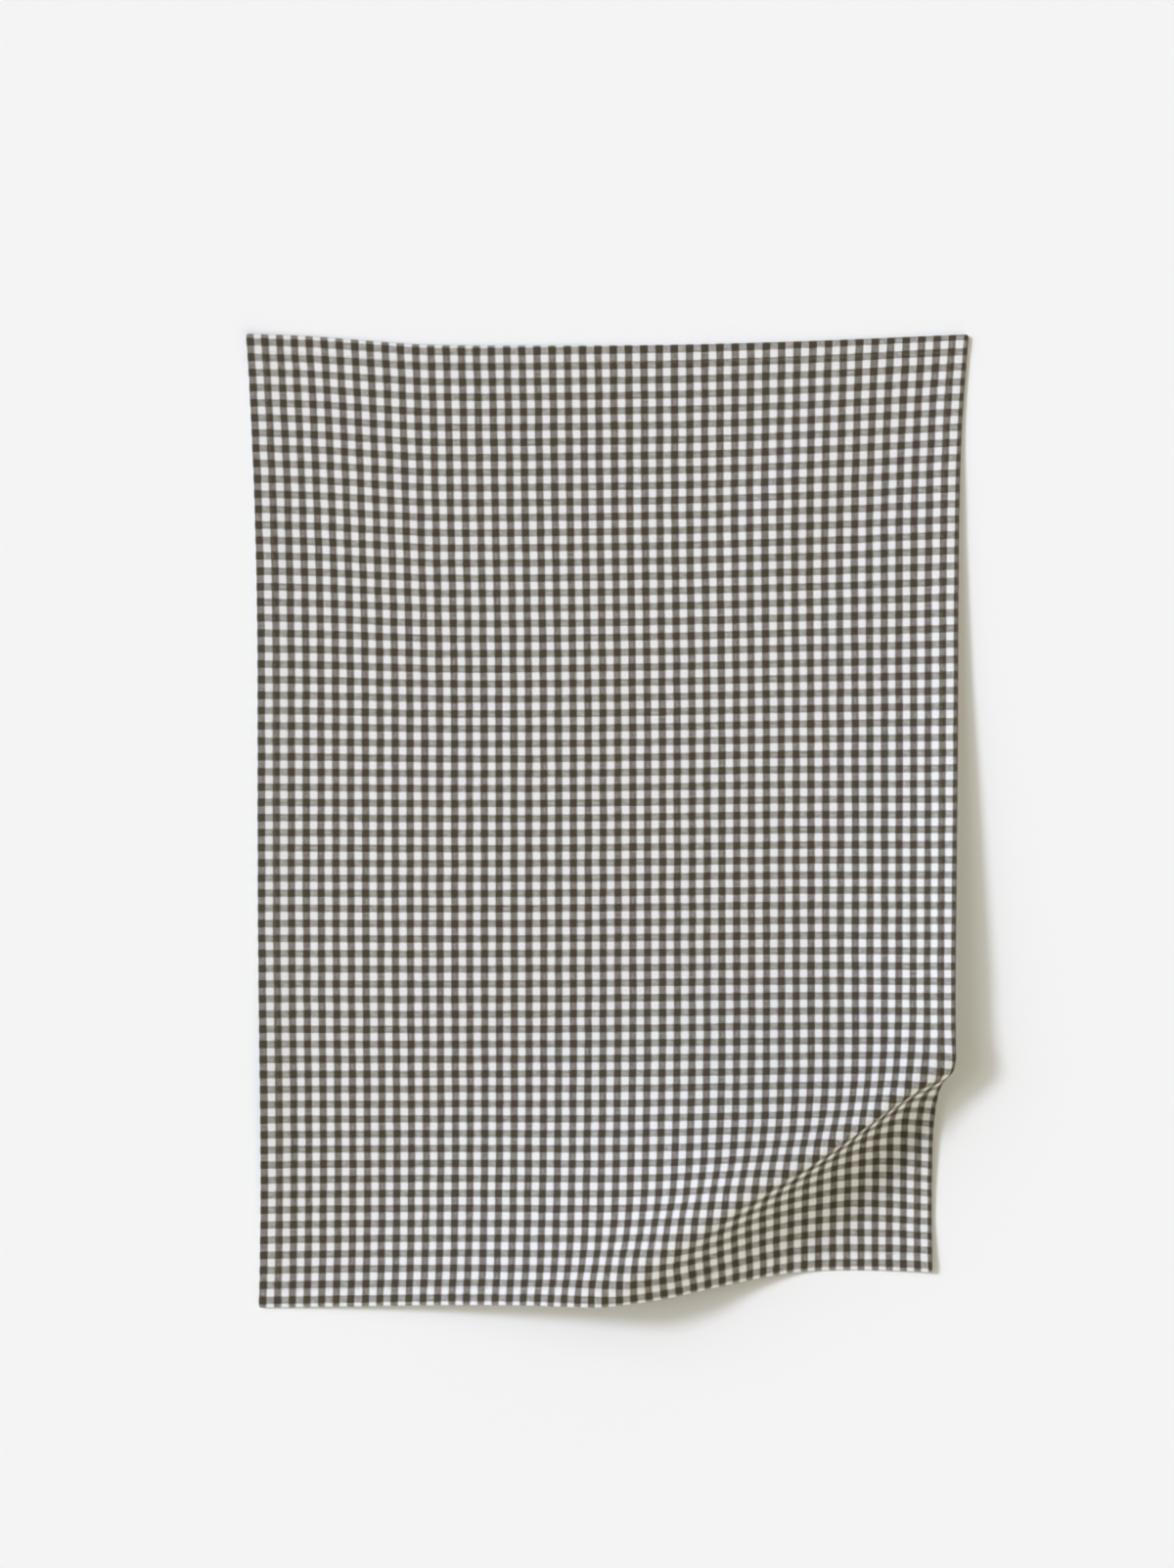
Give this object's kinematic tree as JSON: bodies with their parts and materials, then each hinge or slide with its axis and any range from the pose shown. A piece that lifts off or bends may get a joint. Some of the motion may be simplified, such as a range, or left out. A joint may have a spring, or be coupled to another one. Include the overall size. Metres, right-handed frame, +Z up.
{
  "type": "tea towel",
  "caption": "Rectangular checked cotton tea towel with sewn hems, lying nearly flat with a corner pushed in so that a soft ridge stands across it.",
  "frame": {"origin": "on the table, at the middle of the towel's outline as it lies", "axes": "+X across the towel, +Y along its length away from the pushed-in corner, +Z up off the table"},
  "size_m": [0.5168, 0.6967, 0.054],
  "materials": {
    "cotton": "matt plain weave in a small dark brown and white check"
  },
  "bodies": {
    "root": {"towel": "cotton"}
  },
  "joints": []
}
